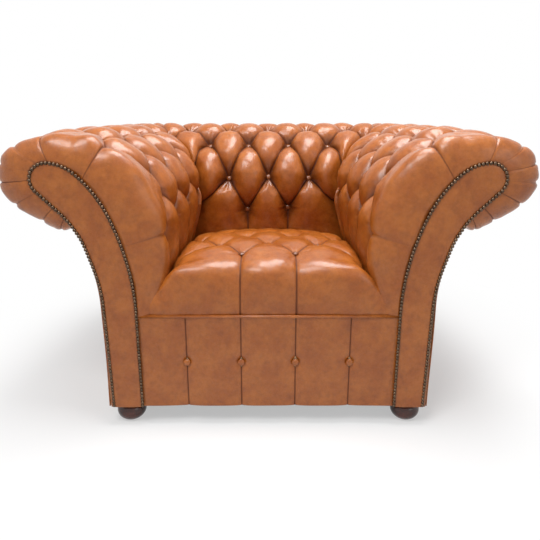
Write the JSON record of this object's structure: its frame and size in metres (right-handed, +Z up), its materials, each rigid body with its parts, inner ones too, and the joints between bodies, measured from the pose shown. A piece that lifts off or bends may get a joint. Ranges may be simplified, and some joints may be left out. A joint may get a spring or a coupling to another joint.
{
  "type": "chesterfield armchair",
  "caption": "Deep-buttoned chesterfield armchair in tan leather, with flared scroll arms, a back of the same height, a buttoned sprung seat, nailed facings and dark bun feet.",
  "frame": {"origin": "on the floor, under the middle of the whole chair", "axes": "+X across the chair, +Y towards the back, +Z up"},
  "size_m": [1.35, 0.9176, 0.7792],
  "materials": {
    "leather": "semi-gloss, mottled tan, darker in the pleats",
    "frame_wood": "sawn beech",
    "plywood": "bent sheet, unfinished",
    "foam": "matt",
    "spring_steel": "oiled",
    "hessian": "coarse weave",
    "dust_cloth": "thin black cloth",
    "foot_wood": "polished dark mahogany",
    "nail_brass": "antique"
  },
  "bodies": {
    "root": {"back_buttons": "leather", "back_centre_upright": "frame_wood", "back_cover": "leather", "back_foam": "foam", "back_left_upright": "frame_wood", "back_lower_rail": "frame_wood", "back_panel": "plywood", "back_right_upright": "frame_wood", "back_seat_rail": "frame_wood", "back_tack_rail": "frame_wood", "back_top_rail": "frame_wood", "border_buttons": "leather", "border_pad": "foam", "centre_stretcher": "frame_wood", "dust_cover": "dust_cloth", "foot_blocks": "frame_wood", "foot_bolts": "spring_steel", "foot_nuts": "spring_steel", "front_border_cover": "leather", "front_seat_rail": "frame_wood", "left_arm_buttons": "leather", "left_arm_foam": "foam", "left_arm_front_board": "frame_wood", "left_arm_panel": "plywood", "left_arm_rear_board": "frame_wood", "left_arm_tack_rail": "frame_wood", "left_arm_top_rail": "frame_wood", "left_back_foot": "foot_wood", "left_corner_rail": "frame_wood", "left_facing_cover": "leather", "left_facing_nails": "nail_brass", "left_front_foot": "foot_wood", "left_inside_arm_cover": "leather", "left_outside_arm_cover": "leather", "left_seat_rail": "frame_wood", "outside_back_cover": "leather", "right_arm_buttons": "leather", "right_arm_foam": "foam", "right_arm_front_board": "frame_wood", "right_arm_panel": "plywood", "right_arm_rear_board": "frame_wood", "right_arm_tack_rail": "frame_wood", "right_arm_top_rail": "frame_wood", "right_back_foot": "foot_wood", "right_corner_rail": "frame_wood", "right_facing_cover": "leather", "right_facing_nails": "nail_brass", "right_front_foot": "foot_wood", "right_inside_arm_cover": "leather", "right_outside_arm_cover": "leather", "right_seat_rail": "frame_wood", "seat_buttons": "leather", "seat_cover": "leather", "seat_foam": "foam", "seat_hessian": "hessian", "seat_springs": "spring_steel", "seat_welt": "leather", "spring_clips": "spring_steel"}
  },
  "joints": []
}
